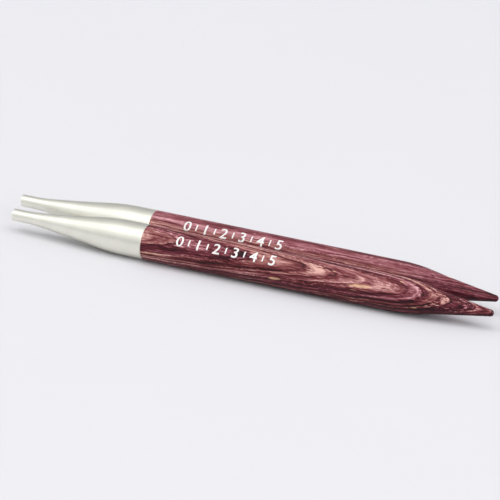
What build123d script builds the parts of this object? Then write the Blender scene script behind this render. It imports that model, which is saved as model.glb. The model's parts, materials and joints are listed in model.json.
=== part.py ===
from build123d import *
import os
from math import atan, cos, degrees, radians, sin, tan

# A pair of 9 mm interchangeable knitting needle tips lying side by side on a flat surface.
# Each needle is a turned shaft of glued wood veneers and a hollow, tapered metal ferrule,
# whose thin nose has a female thread for the connecting cable.
#
# Units are millimetres. Every piece is first made in its own needle's frame: the origin is
# the middle of the ferrule's nose, and X runs along the needle towards its tip.
# The row's frame has Z up from the surface that the needles lie on, X along the front
# needle towards its tip, and its origin under the middle of the pair's bounding box.

# ---- driving dimensions ----
needle_length = 130.0
shaft_diameter = 9.0

# ferrule, outside: a thin straight nose, a slowly steepening cone and a rounded shoulder
ferrule_length = 37.0
nose_diameter = 3.1
nose_length = 5.5
flare_end = (17.0, 2.91)        # distance from the nose, radius: the cone steepens here
shoulder_start = 27.8           # where the cone would meet the full diameter
nose_blend = 42.0
flare_blend = 200.0
shoulder_blend = 60.0
nose_chamfer = 0.15

# ferrule, inside: the tapped hole, a tapered hollow and the socket for the shaft's tenon
thread_core_diameter = 1.6      # an M2 hole's wall before tapping
thread_length = 7.0
thread_countersink = 0.25
hollow_end_radius = 3.0
glue_gap = 0.05
socket_end_clearance = 0.5

# wooden shaft
tenon_diameter = 6.4
tenon_length = 12.0
tenon_chamfer = 0.3
seam_chamfer = 0.1              # on both sides of the joint, so that it shows as a fine line
tip_radius = 0.85
tip_cone_slope = 0.158          # radius lost per millimetre near the point
taper_slope = 0.19              # and nearer the shaft
taper_change = 14.5             # distance of that change of slope from the point
taper_blend = 60.0
tip_shoulder_blend = 42.0

# veneers: seven to the shaft's diameter
ply_thickness = shaft_diameter / 7
feather_trim = 0.3              # a ply that runs out at the surface ends this far short

# The two shafts were turned from differently laid blanks. lay_angle turns the stack about
# the needle's axis from lying flat, and lay_slope is the angle between its plies and that
# axis. ply_offset is the middle of ply number 0, measured across the stack at ply_mid_x.
ply_mid_x = 70.0
front_lay_angle = 46.0
front_lay_slope = 3.4
front_ply_offset = 0.084
front_ply_numbers = range(-5, 6)
back_lay_angle = -25.0
back_lay_slope = 0.0
back_ply_offset = 0.0
back_ply_numbers = range(-3, 4)

# how the back needle lies beside the front one: its nose, and its heading
back_nose_x = -2.14
back_nose_y = 9.6
back_heading = -0.231

# ---- worked out from those ----
shaft_radius = shaft_diameter / 2
nose_radius = nose_diameter / 2
tenon_radius = tenon_diameter / 2
tenon_end = ferrule_length - tenon_length
socket_radius = tenon_radius + glue_gap
socket_end = tenon_end - socket_end_clearance
core_radius = thread_core_diameter / 2


def turned(*edges):
    """The solid that a closed outline, of distance along X and radius, makes about X."""
    return revolve(make_face(Curve() + list(edges)), Axis.X)


def make_ferrule():
    """Hollow tapered ferrule: the nose end at x = 0, the rim against the shaft."""
    outside = FilletPolyline(
        (nose_chamfer, nose_radius),
        (nose_length, nose_radius),
        flare_end,
        (shoulder_start, shaft_radius),
        (ferrule_length - seam_chamfer, shaft_radius),
        radius=[nose_blend, flare_blend, shoulder_blend],
    )
    rim_and_inside = Polyline(
        (ferrule_length - seam_chamfer, shaft_radius),
        (ferrule_length, shaft_radius - seam_chamfer),
        (ferrule_length, socket_radius),
        (socket_end, socket_radius),
        (socket_end, hollow_end_radius),
        (thread_length, core_radius),
        (thread_countersink, core_radius),
        (0, core_radius + thread_countersink),
        (0, nose_radius - nose_chamfer),
        (nose_chamfer, nose_radius),
    )
    return turned(outside, rim_and_inside)


def make_shaft():
    """Turned wooden shaft: the tenon, the full diameter, two-slope taper and round point."""
    cone_angle = atan(tip_cone_slope)
    ball_x = needle_length - tip_radius
    ball_start = (ball_x + tip_radius * sin(cone_angle), tip_radius * cos(cone_angle))
    half_way = radians(90 + degrees(cone_angle)) / 2
    ball_middle = (ball_x + tip_radius * sin(half_way), tip_radius * cos(half_way))
    change_x = needle_length - taper_change
    change_radius = ball_start[1] + tip_cone_slope * (ball_start[0] - change_x)
    taper_start = change_x - (shaft_radius - change_radius) / taper_slope

    outside = FilletPolyline(
        (ferrule_length + seam_chamfer, shaft_radius),
        (taper_start, shaft_radius),
        (change_x, change_radius),
        ball_start,
        radius=[tip_shoulder_blend, taper_blend],
    )
    point = ThreePointArc(ball_start, ball_middle, (needle_length, 0))
    axis_and_tenon = Polyline(
        (needle_length, 0),
        (tenon_end, 0),
        (tenon_end, tenon_radius - tenon_chamfer),
        (tenon_end + tenon_chamfer, tenon_radius),
        (ferrule_length, tenon_radius),
        (ferrule_length, shaft_radius - seam_chamfer),
        (ferrule_length + seam_chamfer, shaft_radius),
    )
    return turned(outside, point, axis_and_tenon)


def without_feather_edges(ply):
    """A ply ends bluntly where turning has worn it down to a knife edge on the surface."""
    box = ply.bounding_box()
    low_x, high_x = box.min.X, box.max.X
    starts_at_seam = low_x < ferrule_length + 2 * seam_chamfer
    ends_at_point = high_x > needle_length - feather_trim / 2
    if not starts_at_seam:
        low_x += feather_trim
    if not ends_at_point:
        high_x -= feather_trim
    width = 2 * shaft_diameter
    return ply & (Pos((low_x + high_x) / 2, 0, 0) * Box(high_x - low_x, width, width))


def cut_plies(shaft, lay_angle, lay_slope, offset, numbers):
    """The veneers that a turned shaft is made of, as slices by parallel glue planes."""
    stack = Pos(ply_mid_x, 0, 0) * Rot(X=lay_angle) * Rot(Y=-lay_slope)
    slab_length = 2 * needle_length
    slab_width = 3 * shaft_diameter
    plies = []
    for number in numbers:
        centre = offset + number * ply_thickness
        low = centre - ply_thickness / 2
        high = centre + ply_thickness / 2
        if number == numbers[0]:
            low -= ply_thickness    # the outer plies run out to the turned surface
        if number == numbers[-1]:
            high += ply_thickness
        slab = Pos(0, 0, (low + high) / 2) * Box(slab_length, slab_width, high - low)
        plies.append(without_feather_edges(shaft & (stack * slab)))
    return plies


def lowest_and_highest(pieces):
    """The corners of a list of pieces' bounding box."""
    box = Compound(children=pieces).bounding_box()
    return box.min, box.max


# ---- the pieces, each in its own needle's frame ----
front_plies = cut_plies(
    make_shaft(), front_lay_angle, front_lay_slope, front_ply_offset, front_ply_numbers)
back_plies = cut_plies(
    make_shaft(), back_lay_angle, back_lay_slope, back_ply_offset, back_ply_numbers)

needles = {
    "front": {"ferrule": make_ferrule()},
    "back": {"ferrule": make_ferrule()},
}
for side, plies in (("front", front_plies), ("back", back_plies)):
    for count, ply in enumerate(plies, start=1):
        needles[side][f"ply_{count:02d}"] = ply

# ---- both needles on the surface, then the frame's origin under the middle of the pair ----
resting = {
    "front": Pos(0, 0, shaft_radius),
    "back": Pos(back_nose_x, back_nose_y, shaft_radius) * Rot(Z=back_heading),
}
laid = {f"{side}_{name}": resting[side] * piece
        for side, pieces in needles.items() for name, piece in pieces.items()}

# The pair's box, from the shapes themselves: the front needle reaches furthest towards the
# tips and the front, the back needle's nose face and its shaft reach furthest the other way.
turn = radians(back_heading)
full_diameter_start = shoulder_start + shoulder_blend * tan(
    (atan((shaft_radius - flare_end[1]) / (shoulder_start - flare_end[0]))) / 2)
low_x = back_nose_x + (nose_radius - nose_chamfer) * sin(turn)
high_y = back_nose_y + full_diameter_start * sin(turn) + shaft_radius * cos(turn)
middle = Pos(-(low_x + needle_length) / 2, -(high_y - shaft_radius) / 2, 0)

os.makedirs("parts", exist_ok=True)
for node, piece in laid.items():
    export_step(middle * piece, f"parts/{node}.step")

box_low, box_high = lowest_and_highest([middle * piece for piece in laid.values()])
print("box", box_low, box_high)
front_nose = middle * resting["front"]
back_nose = middle * resting["back"]
print("front nose", front_nose.position, "back nose", back_nose.position)
print("back axis", cos(turn), sin(turn))
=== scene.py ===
import json
from math import atan, ceil, cos, pi, radians, sin, tan

import bmesh
import bpy
from mathutils import Matrix, Vector


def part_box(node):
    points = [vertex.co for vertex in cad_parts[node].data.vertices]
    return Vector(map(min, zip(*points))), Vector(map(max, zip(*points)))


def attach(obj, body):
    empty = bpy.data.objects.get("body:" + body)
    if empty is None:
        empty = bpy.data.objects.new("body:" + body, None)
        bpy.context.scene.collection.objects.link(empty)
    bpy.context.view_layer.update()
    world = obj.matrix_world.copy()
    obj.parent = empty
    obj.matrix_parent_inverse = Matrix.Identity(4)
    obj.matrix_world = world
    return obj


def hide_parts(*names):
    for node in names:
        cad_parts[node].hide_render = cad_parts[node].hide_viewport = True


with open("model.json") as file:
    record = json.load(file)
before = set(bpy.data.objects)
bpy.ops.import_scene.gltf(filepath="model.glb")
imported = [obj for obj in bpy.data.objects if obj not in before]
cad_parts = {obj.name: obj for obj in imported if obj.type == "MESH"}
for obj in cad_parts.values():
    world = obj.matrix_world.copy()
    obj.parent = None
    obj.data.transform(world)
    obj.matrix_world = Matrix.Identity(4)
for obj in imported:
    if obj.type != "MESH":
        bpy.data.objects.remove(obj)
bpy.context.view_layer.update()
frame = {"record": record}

# A pair of 9 mm interchangeable knitting needle tips on a pale surface: shafts turned from dyed
# wood veneers, hollow nickel ferrules with a threaded nose, and a plain scale printed on each.
#
# Shapes are worked out in millimetres in each needle's own frame: the origin is the middle of
# the ferrule's nose and X runs along the needle towards its point. Meshes are in metres.

MM = 0.001
record = frame["record"]
mounts = {mount["name"]: mount for mount in record["mounts"]}

# ---- sizes from the frame ----
ferrule_low, ferrule_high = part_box("front_ferrule")
THREAD_BORE = mounts["front_cable_thread"]["dims"]
FERRULE_LENGTH = round((ferrule_high.x - ferrule_low.x) / MM, 2)
SHAFT_RADIUS = round((ferrule_high.z - ferrule_low.z) / MM / 2, 2)
BORE_RADIUS = THREAD_BORE["r_mm"]
BORE_LENGTH = THREAD_BORE["length_mm"]

# ---- the rest of the ferrule, as in the CAD model ----
NOSE_RADIUS = 1.55
NOSE_LENGTH = 5.5
FLARE_END = (17.0, 2.91)
SHOULDER_START = 27.8
NOSE_BLEND = 42.0
FLARE_BLEND = 200.0
SHOULDER_BLEND = 60.0
NOSE_CHAMFER = 0.15
COUNTERSINK = 0.25
THREAD_END = COUNTERSINK + BORE_LENGTH
THREAD_PITCH = 0.4
THREAD_DEPTH = 0.2
THREAD_CREST = 0.12             # flat part of the thread's crest, and of its root
THREAD_RUN_OUT = 0.5            # pitches over which it starts at the nose
HOLLOW_END_RADIUS = 3.0
SOCKET_RADIUS = 3.25
SOCKET_START = 24.5

# ---- the wooden shaft ----
TENON_START = 25.0
TENON_RADIUS = 3.2
TENON_CHAMFER = 0.3
SEAM_CHAMFER = 0.1
TIP_RADIUS = 0.85
TIP_SLOPE = 0.158
TAPER_SLOPE = 0.19
TAPER_CHANGE = 14.5
TAPER_BLEND = 60.0
TIP_SHOULDER_BLEND = 42.0
TAPER_START = 107.7             # where the taper's dye starts to deepen

# ---- its veneers: lay angle about the axis, slope to the axis, middle of ply 0, numbers ----
PLY_THICKNESS = 2 * SHAFT_RADIUS / 7
PLY_MIDDLE = Vector((70.0, 0.0, 0.0))
STACKS = {
    "front": {"lay": 46.0, "slope": 3.4, "offset": 0.084, "numbers": range(-5, 6)},
    "back": {"lay": -25.0, "slope": 0.0, "offset": 0.0, "numbers": range(-3, 4)},
}

# ---- mesh resolution ----
SEGMENTS = 144                  # round a needle
ARC_STEP = 0.5                  # millimetres along its outline, on the blends
STRAIGHT_STEP = 2.5             # and elsewhere
BALL_STEPS = 10
THREAD_STEPS = 8                # stations to one turn of the thread
SAME_PLACE = 1e-6               # millimetres
CUT_TOLERANCE = 1e-5
SHAFT_SMOOTHING = radians(20)   # the turned shaft's outline is sharp above this
FERRULE_SMOOTHING = radians(32)

# ---- the printed scale ----
SCALE_START = 47.2              # from the nose, in millimetres
SCALE_PITCH = 5.0
SCALE_NUMBERS = range(6)
SCALE_ANGLE = {"front": 49.0, "back": 52.5}     # above the horizontal, on the near side
DIGIT_SIZE = 4.1
DIGIT_WEIGHT = 0.05
DIGIT_CURVE_STEPS = 6
DIGIT_WELD = 1e-4
TICK_SIZE = (0.34, 1.7)         # along the shaft and round it
INK_HEIGHT = 0.015              # above the wood,
INK_ROOT = 0.012                # and how far its underside lies below the surface
INK_STRIP = 0.25                # widest flat strip in the ink's bend round the shaft
FACE_ORDER = Vector((1.0, 0.37, 0.11))

# ---- camera and light, in metres and degrees ----
CAMERA_AIM = Vector((-0.00215, 0.00311, 0.0045))
CAMERA_DISTANCE = 1.2538
CAMERA_AZIMUTH = 21.968         # from square on to the needles, towards their points
CAMERA_ELEVATION = 22.847
CAMERA_ROLL = 2.731
LENS = 360.0
SENSOR = 36.0                   # both in millimetres
SOFTBOX_SIZE = (4.0, 1.85)
SOFTBOX_SHIFT = -0.67
SOFTBOX_TINT = (1.0, 0.995, 0.985)
SOFTBOX_HEIGHT = 2.0
SOFTBOX_RADIANCE = 1.12         # its light on matt surfaces only,
SHEEN_HEIGHT = 2.05
SHEEN_RADIANCE = 0.45           # and a second one just above it, which glossy ones mirror too
ROOM_TINT = (0.97, 0.98, 1.0)
ROOM_LOW = 0.45                 # the surround's radiance at the horizon,
ROOM_RISE = 0.60                # and how it rises upwards, most on the camera's side
SIDE_RADIANCE = 3.0             # two more lights, beyond the needles' ends
SIDE_EDGE = 0.75                # how far round to the side they begin, as a sine
BACKDROP = (0.863, 0.855, 0.896)
FLOOR_HALF = 3.0


# ================================ outlines ================================

def filleted(corners, radii):
    """Points of a line through corners, the inner ones rounded, straight parts divided too."""
    corners = [Vector(corner) for corner in corners]
    points = [corners[0]]
    for before, corner, after, radius in zip(corners, corners[1:], corners[2:], radii):
        into, out = (corner - before).normalized(), (after - corner).normalized()
        turn = atan(into.cross(out) / into.dot(out))
        side = 1 if turn > 0 else -1
        start = corner - into * radius * tan(abs(turn) / 2)
        centre = start + Vector((-into.y, into.x)) * radius * side
        points += divided(points[-1], start)[1:]
        steps = max(2, ceil(radius * abs(turn) / ARC_STEP))
        arm = start - centre
        for step in range(1, steps + 1):
            a = turn * step / steps
            points.append(centre + Vector((arm.x * cos(a) - arm.y * sin(a),
                                           arm.x * sin(a) + arm.y * cos(a))))
    return points + divided(points[-1], corners[-1])[1:]


def divided(start, end):
    """Points from start to end, at most STRAIGHT_STEP apart."""
    steps = max(1, ceil((end - start).length / STRAIGHT_STEP))
    return [start.lerp(end, step / steps) for step in range(steps + 1)]


def ferrule_outline():
    """Closed outline of the ferrule's wall, as (x, radius), outside first."""
    outside = filleted(
        [(NOSE_CHAMFER, NOSE_RADIUS), (NOSE_LENGTH, NOSE_RADIUS), FLARE_END,
         (SHOULDER_START, SHAFT_RADIUS), (FERRULE_LENGTH - SEAM_CHAMFER, SHAFT_RADIUS)],
        [NOSE_BLEND, FLARE_BLEND, SHOULDER_BLEND])
    rim = Vector((FERRULE_LENGTH, SHAFT_RADIUS - SEAM_CHAMFER))
    socket = divided(Vector((FERRULE_LENGTH, SOCKET_RADIUS)),
                     Vector((SOCKET_START, SOCKET_RADIUS)))
    hollow = divided(Vector((SOCKET_START, HOLLOW_END_RADIUS)),
                     Vector((THREAD_END, BORE_RADIUS)))
    turns = BORE_LENGTH / THREAD_PITCH
    steps = round(turns * THREAD_STEPS)
    bore = [Vector((THREAD_END - BORE_LENGTH * step / steps, BORE_RADIUS))
            for step in range(1, steps + 1)]
    face = [Vector((0, BORE_RADIUS + COUNTERSINK)), Vector((0, NOSE_RADIUS - NOSE_CHAMFER))]
    return outside + [rim] + socket + hollow + bore + face


def shaft_outline():
    """Outline of the shaft from the middle of its tenon's end to its point."""
    length = NEEDLE_LENGTH
    cone = atan(TIP_SLOPE)
    ball_x = length - TIP_RADIUS
    ball_start = Vector((ball_x + TIP_RADIUS * sin(cone), TIP_RADIUS * cos(cone)))
    change_x = length - TAPER_CHANGE
    change_radius = ball_start.y + TIP_SLOPE * (ball_start.x - change_x)
    taper_start = change_x - (SHAFT_RADIUS - change_radius) / TAPER_SLOPE
    tenon = [Vector((TENON_START, 0)), Vector((TENON_START, TENON_RADIUS - TENON_CHAMFER))]
    tenon += divided(Vector((TENON_START + TENON_CHAMFER, TENON_RADIUS)),
                     Vector((FERRULE_LENGTH, TENON_RADIUS)))
    tenon.append(Vector((FERRULE_LENGTH, SHAFT_RADIUS - SEAM_CHAMFER)))
    outside = filleted(
        [(FERRULE_LENGTH + SEAM_CHAMFER, SHAFT_RADIUS), (taper_start, SHAFT_RADIUS),
         (change_x, change_radius), ball_start],
        [TIP_SHOULDER_BLEND, TAPER_BLEND])
    ball = []
    for step in range(1, BALL_STEPS + 1):
        a = pi / 2 - cone + (cone - pi / 2) * step / BALL_STEPS
        ball.append(Vector((ball_x + TIP_RADIUS * cos(a), max(0, TIP_RADIUS * sin(a)))))
    return tenon + outside + ball


# ================================ meshes ================================

def turned(outline, closed, groove=None):
    """A bmesh turned from an outline. Each face holds its outline segment's number, from 1."""
    bm = bmesh.new()
    segment_of = bm.faces.layers.int.new("segment")
    rings = []
    for x, radius in outline:
        if radius < SAME_PLACE:
            rings.append([bm.verts.new((x, 0, 0))] * SEGMENTS)
            continue
        ring = []
        for k in range(SEGMENTS):
            angle = 2 * pi * k / SEGMENTS
            r = radius + (groove(x, radius, angle) if groove else 0)
            ring.append(bm.verts.new((x, r * cos(angle), r * sin(angle))))
        rings.append(ring)
    count = len(rings) if closed else len(rings) - 1
    for i in range(count):
        a, b = rings[i], rings[(i + 1) % len(rings)]
        for k in range(SEGMENTS):
            m = (k + 1) % SEGMENTS
            corners = [a[k], a[m], b[m], b[k]]
            unique = [v for j, v in enumerate(corners) if v not in corners[:j]]
            bm.faces.new(unique)[segment_of] = i + 1
    bmesh.ops.recalc_face_normals(bm, faces=bm.faces)
    return bm


def thread_groove(x, radius, angle):
    """How far the M2 thread is cut into the bore's wall at that place."""
    if radius > BORE_RADIUS + SAME_PLACE or not COUNTERSINK < x < THREAD_END:
        return 0.0
    phase = (x / THREAD_PITCH + angle / (2 * pi)) % 1
    flank = min(phase, 1 - phase) * 2
    fade = min(1, (THREAD_END - x) / THREAD_PITCH,
               (x - COUNTERSINK) / (THREAD_PITCH * THREAD_RUN_OUT))
    return THREAD_DEPTH * fade * min(1, max(0, (flank - THREAD_CREST) / (1 - 2 * THREAD_CREST)))


def cut(bm, distance, normal, keep_below):
    """Cuts a solid by the glue plane at that distance along normal, and closes it."""
    bmesh.ops.bisect_plane(
        bm, geom=bm.verts[:] + bm.edges[:] + bm.faces[:], dist=CUT_TOLERANCE,
        plane_co=PLY_MIDDLE + normal * distance, plane_no=normal,
        clear_outer=keep_below, clear_inner=not keep_below)
    rim = [edge for edge in bm.edges if edge.is_boundary]
    filled = bmesh.ops.holes_fill(bm, edges=rim, sides=0)["faces"]
    segment_of = bm.faces.layers.int["segment"]
    for face in filled:
        face[segment_of] = 0


def stack_axes(stack):
    """The stack of veneers' own axes in the needle's frame: along, across, and through it."""
    turn = Matrix.Rotation(radians(stack["lay"]), 3, "X")
    tilt = Matrix.Rotation(radians(-stack["slope"]), 3, "Y")
    return [turn @ tilt @ Vector(axis) for axis in ((1, 0, 0), (0, 1, 0), (0, 0, 1))]


def segment_normals(outline):
    """For each outline segment, the turned surface's normal at its two ends, as (x, radial)."""
    flat = []
    for a, b in zip(outline, outline[1:]):
        along = (b - a).normalized()
        flat.append(Vector((-along.y, along.x)))
    ends = []
    for i, normal in enumerate(flat):
        pair = []
        for other in (i - 1, i + 1):
            near = flat[other] if 0 <= other < len(flat) else normal
            smooth = near.dot(normal) > cos(SHAFT_SMOOTHING)
            pair.append((normal + near).normalized() if smooth else normal)
        ends.append(pair)
    return ends


def corner_normals(mesh, outline, segments):
    """Normals of the turned surface itself, so that veneers meet without a shading seam."""
    ends = segment_normals(outline)
    normals = [None] * len(mesh.loops)
    for polygon in mesh.polygons:
        segment = segments[polygon.index]
        for loop in polygon.loop_indices:
            if not segment:
                normals[loop] = polygon.normal.copy()
                continue
            place = mesh.vertices[mesh.loops[loop].vertex_index].co / MM
            radial = Vector((place.y, place.z))
            a, b = outline[segment - 1], outline[segment]
            along = (Vector((place.x, radial.length)) - a).dot(b - a) / (b - a).length_squared
            n = ends[segment - 1][0].lerp(ends[segment - 1][1], min(1, max(0, along)))
            if radial.length < SAME_PLACE:
                radial = Vector((polygon.normal.y, polygon.normal.z))
            radial = radial.normalized()
            normals[loop] = Vector((n.x, n.y * radial.x, n.y * radial.y)).normalized()
    return normals


def add_piece(name, bm, side, material, replaced):
    """Makes a bmesh, in millimetres in its needle's frame, a piece that rides on the needle."""
    bmesh.ops.scale(bm, vec=(MM, MM, MM), verts=bm.verts)
    mesh = bpy.data.meshes.new(name)
    bm.to_mesh(mesh)
    bm.free()
    mesh.materials.append(material)
    piece = bpy.data.objects.new(name, mesh)
    bpy.context.scene.collection.objects.link(piece)
    piece.matrix_world = needle_frames[side]
    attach(piece, f"{side}_needle")
    if replaced:
        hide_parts(replaced)
    return piece


def make_ferrule(side, material):
    """Hollow ferrule with its inner thread."""
    bm = turned(ferrule_outline(), closed=True, groove=thread_groove)
    piece = add_piece(f"{side}_metal_ferrule", bm, side, material, f"{side}_ferrule")
    piece.data.shade_smooth()
    piece.data.set_sharp_from_angle(angle=FERRULE_SMOOTHING)


def make_veneers(side, material):
    """The turned shaft, as one closed solid for each veneer."""
    stack = STACKS[side]
    normal = stack_axes(stack)[2]
    outline = shaft_outline()
    for count, number in enumerate(stack["numbers"], start=1):
        bm = turned(outline, closed=False)
        middle = stack["offset"] + number * PLY_THICKNESS
        if number != stack["numbers"][-1]:
            cut(bm, middle + PLY_THICKNESS / 2, normal, keep_below=True)
        if number != stack["numbers"][0]:
            cut(bm, middle - PLY_THICKNESS / 2, normal, keep_below=False)
        bmesh.ops.recalc_face_normals(bm, faces=bm.faces)
        layer = bm.faces.layers.int["segment"]
        segments = [face[layer] for face in bm.faces]
        node = f"{side}_ply_{count:02d}"
        piece = add_piece(f"{side}_veneer_{count:02d}", bm, side, material, node)
        piece.data.shade_smooth()
        piece.data.normals_split_custom_set(corner_normals(piece.data, outline, segments))


# ================================ printed scale ================================

def flat_digit(number):
    """A digit as a flat bmesh, centred on the origin."""
    curve = bpy.data.curves.new("digit", "FONT")
    curve.body = str(number)
    curve.size = DIGIT_SIZE
    curve.offset = DIGIT_WEIGHT
    curve.resolution_u = DIGIT_CURVE_STEPS
    text = bpy.data.objects.new("digit", curve)
    bpy.context.scene.collection.objects.link(text)
    bpy.context.view_layer.update()
    mesh = text.to_mesh()
    bm = bmesh.new()
    bm.from_mesh(mesh)
    text.to_mesh_clear()
    bpy.data.objects.remove(text)
    bpy.data.curves.remove(curve)
    bmesh.ops.remove_doubles(bm, verts=bm.verts, dist=DIGIT_WELD)
    low = [min(v.co[i] for v in bm.verts) for i in (0, 1)]
    high = [max(v.co[i] for v in bm.verts) for i in (0, 1)]
    bmesh.ops.translate(bm, verts=bm.verts, vec=(-(low[0] + high[0]) / 2,
                                                 -(low[1] + high[1]) / 2, 0))
    return bm


def flat_tick():
    """A short stroke across the scale, as a flat bmesh centred on the origin."""
    bm = bmesh.new()
    width, height = TICK_SIZE
    bm.faces.new([bm.verts.new((x * width / 2, y * height / 2, 0))
                  for x, y in ((-1, -1), (1, -1), (1, 1), (-1, 1))])
    return bm


def wrap_on_shaft(bm, x, middle):
    """Bends a flat shape round the shaft at x, as a thin closed layer of ink."""
    height = max(v.co.y for v in bm.verts)
    steps = ceil(2 * height / INK_STRIP)
    for step in range(1, steps):
        bmesh.ops.bisect_plane(
            bm, geom=bm.verts[:] + bm.edges[:] + bm.faces[:], dist=CUT_TOLERANCE,
            plane_co=(0, -height + 2 * height * step / steps, 0), plane_no=(0, 1, 0))
    grown = bmesh.ops.extrude_face_region(bm, geom=bm.faces[:])["geom"]
    top = {v for v in grown if isinstance(v, bmesh.types.BMVert)}
    for v in bm.verts:
        r = SHAFT_RADIUS + (INK_HEIGHT if v in top else -INK_ROOT)
        angle = radians(middle) + v.co.y / SHAFT_RADIUS
        v.co = Vector((x + v.co.x, -r * cos(angle), r * sin(angle)))
    bmesh.ops.recalc_face_normals(bm, faces=bm.faces)
    # the extrusion's side walls come in a different order each run
    bm.faces.sort(key=lambda face: face.calc_center_median().dot(FACE_ORDER))


def make_scale(side, material):
    """A row of numbers with a stroke between each two, printed along the shaft."""
    whole = bmesh.new()
    marks = []
    for place, number in enumerate(SCALE_NUMBERS):
        marks.append((flat_digit(number), SCALE_START + place * SCALE_PITCH))
        if number != SCALE_NUMBERS[-1]:
            marks.append((flat_tick(), SCALE_START + (place + 0.5) * SCALE_PITCH))
    for bm, x in marks:
        wrap_on_shaft(bm, x, SCALE_ANGLE[side])
        mesh = bpy.data.meshes.new("mark")
        bm.to_mesh(mesh)
        bm.free()
        whole.from_mesh(mesh)
        bpy.data.meshes.remove(mesh)
    add_piece(f"{side}_printed_scale", whole, side, material, None)


# ================================ shader nodes ================================

class Nodes:
    """Short-hand for a node tree. Values may be numbers, colours or sockets."""

    def __init__(self, tree):
        self.tree = tree

    def put(self, socket, value):
        if isinstance(value, bpy.types.NodeSocket):
            self.tree.links.new(value, socket)
        else:
            socket.default_value = value

    def node(self, kind, inputs=(), **settings):
        made = self.tree.nodes.new("ShaderNode" + kind)
        for key, value in settings.items():
            setattr(made, key, value)
        for key, value in dict(inputs).items():
            self.put(made.inputs[key], value)
        return made

    def math(self, operation, a, b=0.0, c=0.0):
        return self.node("Math", {0: a, 1: b, 2: c}, operation=operation).outputs[0]

    def spread(self, value, low, high, to_low=0.0, to_high=1.0, smooth=False):
        """Carries the range low to high over to another, and stops at its ends."""
        made = self.node("MapRange", {0: value, 1: low, 2: high, 3: to_low, 4: to_high},
                         interpolation_type="SMOOTHSTEP" if smooth else "LINEAR")
        return made.outputs[0]


class Shader(Nodes):
    """One material's nodes."""

    def __init__(self, name):
        self.material = bpy.data.materials.new(name)
        self.material.use_nodes = True
        super().__init__(self.material.node_tree)
        self.surface = self.tree.nodes["Principled BSDF"]

    def set(self, **inputs):
        for key, value in inputs.items():
            self.put(self.surface.inputs[key.replace("_", " ").title().replace("Ior", "IOR")],
                     value)

    def place_mm(self):
        """The place on the piece, in millimetres in its needle's frame."""
        made = self.node("VectorMath", {0: self.node("TexCoord").outputs["Object"],
                                        3: 1 / MM}, operation="SCALE")
        return made.outputs[0]

    def along(self, vector, axis):
        """Distance along an axis."""
        made = self.node("VectorMath", {0: vector, 1: tuple(axis)}, operation="DOT_PRODUCT")
        return made.outputs["Value"]

    def vector(self, x, y, z):
        return self.node("CombineXYZ", {0: x, 1: y, 2: z}).outputs[0]

    def noise(self, vector, scale=1.0, detail=2.0, roughness=0.5):
        made = self.node("TexNoise", {"Vector": vector, "Scale": scale, "Detail": detail,
                                      "Roughness": roughness})
        return made.outputs[0]

    def grain(self, distances, per_mm, detail, roughness=0.5):
        """Noise drawn out differently along each of three distances."""
        scaled = [self.math("MULTIPLY", distance, fineness)
                  for distance, fineness in zip(distances, per_mm)]
        return self.noise(self.vector(*scaled), detail=detail, roughness=roughness)

    def vary(self, value, noise, amount):
        """A value raised and lowered by a noise."""
        return self.math("MULTIPLY_ADD", self.math("SUBTRACT", noise, 0.5), amount, value)

    def ramp(self, value, stops, steps=False):
        made = self.node("ValToRGB", {0: value})
        ramp = made.color_ramp
        ramp.interpolation = "CONSTANT" if steps else "LINEAR"
        while len(ramp.elements) < len(stops):
            ramp.elements.new(0.5)
        for element, (place, _) in zip(ramp.elements, stops):
            element.position = place
        for element, (_, colour) in zip(ramp.elements, stops):
            element.color = (*colour, 1)
        return made.outputs[0]

    def mix(self, factor, a, b, blend="MIX"):
        made = self.node("Mix", {0: factor}, data_type="RGBA", blend_type=blend)
        for socket, value in ((made.inputs[6], a), (made.inputs[7], b)):
            self.put(socket, value if isinstance(value, bpy.types.NodeSocket) else (*value, 1))
        return made.outputs[2]

    def bump(self, height, distance, strength=1.0):
        made = self.node("Bump", {"Height": height, "Distance": distance,
                                  "Strength": strength})
        self.put(self.surface.inputs["Normal"], made.outputs[0])


# ================================ wood ================================

# The wood's tone runs from 0, the deepest dye, to 1, the palest.
WOOD_TONES = [(0.0, (0.016, 0.005, 0.006)), (0.2, (0.052, 0.008, 0.011)),
              (0.42, (0.125, 0.024, 0.030)), (0.62, (0.240, 0.082, 0.084)),
              (0.82, (0.410, 0.206, 0.197)), (1.0, (0.610, 0.350, 0.320))]
CREAM = (0.64, 0.38, 0.24)      # undyed wood

# Each veneer's tone and tint, from the stack's lowest up.
VENEER_TONES = {
    "front": [0.38, 0.50, 0.40, 0.48, 0.40, 0.54, 0.46, 0.52, 0.62, 0.38, 0.68],
    "back": [0.36, 0.46, 0.49, 0.58, 0.54, 0.60, 0.49],
}
BROWN_TINT = (1.0, 1.0, 0.94)
WINE_TINT = (1.0, 0.96, 0.97)
PLUM_TINT = (0.98, 0.90, 1.04)
VENEER_TINTS = {
    "front": [PLUM_TINT, WINE_TINT, PLUM_TINT, WINE_TINT, PLUM_TINT, BROWN_TINT, PLUM_TINT,
              WINE_TINT, BROWN_TINT, PLUM_TINT, BROWN_TINT],
    "back": [WINE_TINT, PLUM_TINT, BROWN_TINT, WINE_TINT, BROWN_TINT, PLUM_TINT, PLUM_TINT],
}
POINT_TINT = (1.0, 0.97, 1.14)
POINT_TINTED = {"front": 0.0, "back": 1.0}      # how far every veneer turns to it on the taper
POINT_TINT_RANGE = (TAPER_START - 8, TAPER_START + 6)
GLUE_LINE = 0.05                # half width in plies
GLUE_DEPTH = 0.14

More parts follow.
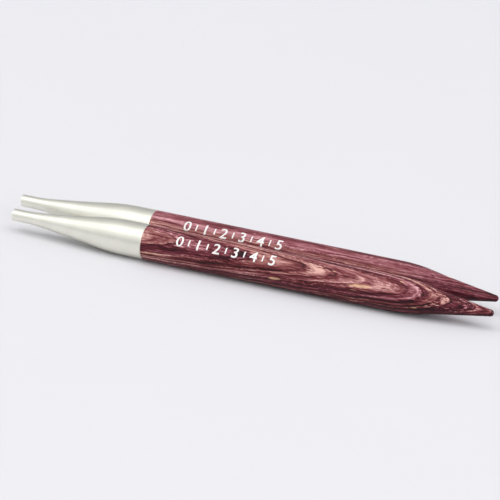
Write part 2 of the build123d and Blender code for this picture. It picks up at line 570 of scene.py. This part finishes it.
# The dye is deeper in places, and shade is painted on the front shaft's lower near side. All
# distances are in millimetres.
FLANK_PAINTED_SHADE = {"front": 0.20, "back": 0.0}       # painted shade, darker along the veneers' edge on the lower near side,
FLANK_SHADE_ACROSS = (-2.6, -0.6)
FLANK_SHADE_ALONG = (42, 56)                           # clear of the ferrule
LENGTH_DEPTH = {"front": 0.0, "back": 0.18}     # from the ferrule to the taper
LENGTH_START = 40
TAPER_DEPTH = {"front": 0.06, "back": 0.09}     # from the taper's start,
TAPER_DEPTH_END = 6                             # to this far from the point
POINT_DEPTH = 0.16                              # and at the very point
POINT_DEPTH_LENGTH = 5

# The wood's noises: how fine along the fibres, across them and through the stack, for each
# millimetre, then detail and roughness.
LONG_WAVES = ((0.055, 0.17, 0.17), 1.0)
RIPPLES = ((0.30, 0.55, 0.40), 2.0)
RINGS = ((0.022, 0.07, 1.9), 3.0, 0.6)
FINE_RINGS = ((0.05, 0.20, 7.0), 2.0)
FIBRES = ((0.22, 4.6, 4.6), 3.0, 0.6)
BUNDLES = ((0.18, 1.9, 1.9), 3.0, 0.65)
FLECK_PATCHES = ((0.05, 0.20, 1.5), 3.0, 0.6)
FLECK_GRAIN = ((0.90, 2.6, 2.6), 3.0, 0.65)
CREAM_PATCHES = ((0.10, 0.70, 1.3), 2.0)

# How high the layers' long waves are, in millimetres, and the ripples on them in parts of that.
WAVES = {"front": 0.32, "back": 0.5}
RIPPLE_PART = 1.1
# How much each noise changes the tone, and how strong a shaft's pattern is as a whole.
CONTRAST = {"front": 1.0, "back": 0.7}
RING_CONTRAST = 1.9
FINE_RING_CONTRAST = 0.55
FIBRE_CONTRAST = 0.7
BUNDLE_CONTRAST = 1.1
# The strongest growth layers: middle and half thickness in the stack, and how much paler.
GROWTH_LAYERS = {
    "front": [(4.08, 0.09, -0.16), (3.84, 0.08, -0.12), (3.58, 0.20, 0.10), (3.31, 0.09, -0.19),
              (2.86, 0.09, 0.14), (2.72, 0.08, -0.18), (2.50, 0.15, 0.20), (2.10, 0.25, -0.12),
              (1.55, 0.24, 0.13), (1.05, 0.22, -0.13), (0.55, 0.24, 0.14), (0.08, 0.20, -0.12),
              (-0.38, 0.22, 0.12)],
    "back": [],
}
GROWTH_CORE = 0.4               # the part of the half thickness with the full strength
# Pale flecks: how much paler, on the shaft and on the taper.
FLECKS = {"front": (0.34, 0.60), "back": (0.24, 0.08)}
FLECK_CHANGE = (102, 110)
# Undyed streaks: distance from the nose, angle above the horizontal, half length and width.
CREAM_STREAKS = {"front": [(96.5, 24.0, 5.0, 0.28), (73.5, -9.0, 1.7, 0.32)], "back": []}
CREAM_PATCH_STRENGTH = 0.8
STREAK_TEAR = 2.4


def wavy_layer(s, side, place):
    """Height in the stack, with the layers' long waves and the shorter ripples on them."""
    high = WAVES[side]
    ripples = s.math("MULTIPLY", s.math("SUBTRACT", s.grain(place, *RIPPLES), 0.5),
                     RIPPLE_PART * high)
    return s.math("ADD", place[2], s.vary(ripples, s.grain(place, *LONG_WAVES), 2 * high))


def veneer_dye(s, side, layer):
    """A layer's height in plies, and the tone and tint of the veneer that it is in."""
    stack = STACKS[side]
    count = len(VENEER_TONES[side])
    lowest = stack["offset"] + (stack["numbers"][0] - 0.5) * PLY_THICKNESS
    ply = s.math("DIVIDE", s.math("SUBTRACT", layer, lowest), PLY_THICKNESS)
    number = s.math("DIVIDE", ply, count)
    tone = s.ramp(number, [(k / count, (t, t, t)) for k, t in enumerate(VENEER_TONES[side])],
                  steps=True)
    tint = s.ramp(number, [(k / count, t) for k, t in enumerate(VENEER_TINTS[side])],
                  steps=True)
    return ply, tone, tint


def deeper_in_places(s, side, tone, x, across):
    """Deepens the dye along the shaft, on the taper and at the point, and paints shade along the
    veneers' edge on the lower near side.
    """
    length_depth = LENGTH_DEPTH[side]
    places = (
        # painted shade: the shaft's lower near side is made darker
        s.math("MULTIPLY", s.spread(across, *FLANK_SHADE_ACROSS, FLANK_PAINTED_SHADE[side], 0.0, True),
               s.spread(x, *FLANK_SHADE_ALONG)),
        s.spread(x, LENGTH_START, TAPER_START, -length_depth / 2, length_depth / 2),
        s.spread(x, TAPER_START, NEEDLE_LENGTH - TAPER_DEPTH_END, 0.0, TAPER_DEPTH[side], True),
        s.spread(x, NEEDLE_LENGTH - POINT_DEPTH_LENGTH, NEEDLE_LENGTH, 0.0, POINT_DEPTH, True),
    )
    for deeper in places:
        tone = s.math("SUBTRACT", tone, deeper)
    return tone


def growth_rings(s, side, tone, bent, fine_rings):
    """Growth layers within the veneers, light and dark. bent is the place in wavy layers."""
    strength = CONTRAST[side]
    tone = s.vary(tone, s.grain(bent, *RINGS), RING_CONTRAST * strength)
    tone = s.vary(tone, fine_rings, FINE_RING_CONTRAST * strength)
    for middle, half, paler in GROWTH_LAYERS[side]:
        away = s.math("ABSOLUTE", s.math("SUBTRACT", bent[2], middle))
        tone = s.math("ADD", tone,
                      s.spread(away, GROWTH_CORE * half, half, paler, 0.0, smooth=True))
    return tone


def pale_flecks(s, side, tone, x, place, bent):
    """Flecks where the dye took badly: in some layers, broken up by the fibres."""
    patches = s.spread(s.grain(bent, *FLECK_PATCHES), 0.46, 0.60, 0.10, 1.0, smooth=True)
    fleck = s.spread(s.grain(place, *FLECK_GRAIN), 0.48, 0.62, smooth=True)
    return s.math("MULTIPLY_ADD", s.math("MULTIPLY", fleck, patches),
                  s.spread(x, *FLECK_CHANGE, *FLECKS[side]), tone)


def cream_streak(s, streak, stack, place, tearing):
    """Where one undyed streak lies, as a spindle along the stack's fibres, torn by the grain."""
    x, angle, half_length, half_width = streak
    middle = Vector((x, -SHAFT_RADIUS * cos(radians(angle)), SHAFT_RADIUS * sin(radians(angle))))
    along, across, through = stack_axes(stack)
    centre = (along.dot(middle), across.dot(middle), through.dot(middle - PLY_MIDDLE))
    parts = [s.math("DIVIDE", s.math("SUBTRACT", distance, at), size)
             for distance, at, size in zip(place, centre,
                                           (half_length, 2 * half_width, half_width))]
    away = s.node("VectorMath", {0: s.vector(*parts)}, operation="LENGTH").outputs["Value"]
    return s.spread(s.vary(away, tearing, STREAK_TEAR), 0.6, 0.95, 1.0, 0.0, smooth=True)


def undyed(s, side, place, bent, bundles):
    """How far the wood is undyed: rare patches, and the streaks of its own."""
    cream = s.spread(s.grain(bent, *CREAM_PATCHES), 0.70, 0.75,
                     0.0, CREAM_PATCH_STRENGTH * CONTRAST[side], smooth=True)
    for streak in CREAM_STREAKS[side]:
        cream = s.math("MAXIMUM", cream,
                       cream_streak(s, streak, STACKS[side], place, bundles))
    return s.math("MULTIPLY", cream, s.spread(bundles, 0.36, 0.5, 0.35, 1.0))


def wood_material(side):
    """Lacquered laminated wood: dyed veneers, growth layers, fibres and pale flecks."""
    s = Shader(f"{side}_dyed_wood")
    strength = CONTRAST[side]
    along, across, through = stack_axes(STACKS[side])
    spot = s.place_mm()
    x = s.along(spot, (1, 0, 0))
    depth = s.math("SUBTRACT", s.along(spot, through), through.dot(PLY_MIDDLE))
    # the place in the stack: along its fibres, across them and through it, in flat layers
    # and in the wavy ones that the wood has
    place = (s.along(spot, along), s.along(spot, across), depth)
    bent = (*place[:2], wavy_layer(s, side, place))
    fibres = s.grain(place, *FIBRES)
    bundles = s.grain(place, *BUNDLES)
    fine_rings = s.grain(bent, *FINE_RINGS)

    ply, tone, tint = veneer_dye(s, side, bent[2])
    tint = s.mix(s.spread(x, *POINT_TINT_RANGE, 0.0, POINT_TINTED[side], True),
                 tint, POINT_TINT)
    tone = deeper_in_places(s, side, tone, x, place[1])
    tone = growth_rings(s, side, tone, bent, fine_rings)
    tone = s.vary(tone, fibres, FIBRE_CONTRAST)
    tone = s.vary(tone, bundles, BUNDLE_CONTRAST * strength)
    tone = pale_flecks(s, side, tone, x, place, bent)
    glue = s.spread(s.math("PINGPONG", ply, 0.5), 0.0, GLUE_LINE,
                    GLUE_DEPTH * strength, 0.0, smooth=True)
    tone = s.math("SUBTRACT", tone, glue)
    colour = s.mix(1.0, s.ramp(tone, WOOD_TONES), tint, "MULTIPLY")
    colour = s.mix(undyed(s, side, place, bent, bundles), colour, CREAM)

    s.set(base_color=colour, ior=1.45, roughness=s.spread(fibres, 0.3, 0.7, 0.36, 0.50),
          specular_ior_level=0.14, coat_weight=0.06, coat_roughness=0.16)
    s.bump(s.math("ADD", s.math("MULTIPLY", fibres, 0.6), s.math("MULTIPLY", fine_rings, 0.4)),
           0.02 * MM)
    return s.material


# ================================ metal, ink and paper ================================

NICKEL_TONES = [(0.3, (0.795, 0.785, 0.695)), (0.7, (0.855, 0.845, 0.755))]
TURNING_MARKS = 9.0             # for each millimetre along the ferrule
INK = (0.75, 0.74, 0.72)
INK_OVER_FIBRES = (0.48, 0.30, 0.30)
INK_GRAIN = ((0.6, 5.0, 5.0), 3.0)
PAPER_TONES = ((0.585, 0.580, 0.602), (0.594, 0.589, 0.612))


def nickel_material():
    """Satin nickel plate over fine turning marks."""
    s = Shader("satin_nickel")
    spot = s.place_mm()
    x = s.along(spot, (1, 0, 0))
    turning = s.noise(s.vector(s.math("MULTIPLY", x, TURNING_MARKS), 0.0, 0.0),
                      detail=3.0, roughness=0.7)
    cloud = s.noise(spot, 0.22, detail=3.0)
    smudge = s.noise(spot, 0.9, detail=4.0, roughness=0.6)
    s.set(base_color=s.ramp(cloud, NICKEL_TONES), metallic=1.0,
          roughness=s.math("ADD", s.spread(smudge, 0.3, 0.7, 0.29, 0.36),
                           s.spread(turning, 0.3, 0.7, 0.0, 0.06)))
    s.bump(s.math("ADD", turning, s.math("MULTIPLY", smudge, 0.25)), 0.004 * MM)
    return s.material


def ink_material():
    """White pad print, a little thin over the fibres."""
    s = Shader("white_ink")
    spot = s.place_mm()
    fibres = s.grain([s.along(spot, axis) for axis in ((1, 0, 0), (0, 1, 0), (0, 0, 1))],
                     *INK_GRAIN)
    s.set(base_color=s.mix(s.spread(fibres, 0.52, 0.72, 0.0, 0.4), INK, INK_OVER_FIBRES),
          roughness=s.spread(fibres, 0.3, 0.7, 0.42, 0.6))
    s.bump(fibres, 0.006 * MM)
    return s.material


def paper_material():
    """Pale matt paper."""
    s = Shader("pale_paper")
    spot = s.place_mm()
    s.set(base_color=s.mix(s.noise(spot, 0.02), *PAPER_TONES), roughness=0.9,
          specular_ior_level=0.1)
    s.bump(s.noise(spot, 3.0, detail=3.0), 0.01 * MM, 0.5)
    return s.material


# ================================ stage ================================

def make_floor():
    mesh = bpy.data.meshes.new("floor")
    bm = bmesh.new()
    bmesh.ops.create_grid(bm, x_segments=1, y_segments=1, size=FLOOR_HALF)
    bm.to_mesh(mesh)
    bm.free()
    mesh.materials.append(paper_material())
    floor = bpy.data.objects.new("floor", mesh)
    bpy.context.scene.collection.objects.link(floor)


def make_softbox(name, height, radiance, glossy):
    """One of the two broad lights overhead."""
    light = bpy.data.lights.new(name, "AREA")
    light.shape = "RECTANGLE"
    light.size, light.size_y = SOFTBOX_SIZE
    light.energy = radiance * pi * light.size * light.size_y
    light.color = SOFTBOX_TINT
    softbox = bpy.data.objects.new(name, light)
    softbox.location = (0, SOFTBOX_SHIFT, height)
    softbox.visible_camera = False
    softbox.visible_glossy = glossy
    bpy.context.scene.collection.objects.link(softbox)


def make_surround():
    """A pale room, brighter upwards on the camera's side, with a light beyond each end."""
    world = bpy.data.worlds.new("surround")
    bpy.context.scene.world = world
    world.use_nodes = True
    world.node_tree.nodes.clear()
    n = Nodes(world.node_tree)
    parts = n.node("SeparateXYZ", {0: n.node("TexCoord").outputs["Generated"]}).outputs
    rise = n.math("MULTIPLY", parts["Z"], n.math("SUBTRACT", 1.0, parts["Y"]))
    room = n.math("MAXIMUM", n.math("MULTIPLY_ADD", rise, ROOM_RISE, ROOM_LOW), ROOM_LOW)
    ends = n.spread(n.math("ABSOLUTE", parts["X"]), SIDE_EDGE, 1.0, 0.0, SIDE_RADIANCE)
    lighting = n.node("Background", {"Color": (*ROOM_TINT, 1),
                                     "Strength": n.math("ADD", room, ends)})
    backdrop = n.node("Background", {"Color": (*BACKDROP, 1)})
    both = n.node("MixShader", {0: n.node("LightPath").outputs["Is Camera Ray"],
                                1: lighting.outputs[0], 2: backdrop.outputs[0]})
    n.node("OutputWorld", {0: both.outputs[0]})


def make_camera():
    data = bpy.data.cameras.new("camera")
    data.lens = LENS
    data.sensor_width = SENSOR
    camera = bpy.data.objects.new("camera", data)
    bpy.context.scene.collection.objects.link(camera)
    turn = (Matrix.Rotation(radians(CAMERA_AZIMUTH), 4, "Z")
            @ Matrix.Rotation(radians(90 - CAMERA_ELEVATION), 4, "X")
            @ Matrix.Rotation(radians(CAMERA_ROLL), 4, "Z"))
    camera.matrix_world = (Matrix.Translation(CAMERA_AIM) @ turn
                           @ Matrix.Translation((0, 0, CAMERA_DISTANCE)))
    bpy.context.scene.camera = camera


# ================================ everything ================================

def needle_place(side):
    """A needle's own frame as a matrix, and its length in millimetres."""
    point = Vector(mounts[f"{side}_point"]["pos_m"])
    along = Vector(mounts[f"{side}_point"]["axis"]).normalized()
    nose = (Vector(mounts[f"{side}_cable_thread"]["pos_m"])
            - along * (COUNTERSINK + BORE_LENGTH / 2) * MM)
    up = Vector((0, 0, 1))
    turn = Matrix((along, up.cross(along), up)).transposed()
    return Matrix.Translation(nose) @ turn.to_4x4(), round((point - nose).length / MM, 2)


needle_frames = {}
for side in STACKS:
    needle_frames[side], NEEDLE_LENGTH = needle_place(side)

nickel = nickel_material()
ink = ink_material()
for side in STACKS:
    make_ferrule(side, nickel)
    make_veneers(side, wood_material(side))
    make_scale(side, ink)

make_floor()
make_softbox("softbox", SOFTBOX_HEIGHT, SOFTBOX_RADIANCE, glossy=False)
make_softbox("sheen", SHEEN_HEIGHT, SHEEN_RADIANCE, glossy=True)
make_surround()
make_camera()
bpy.context.scene.view_settings.view_transform = "Standard"
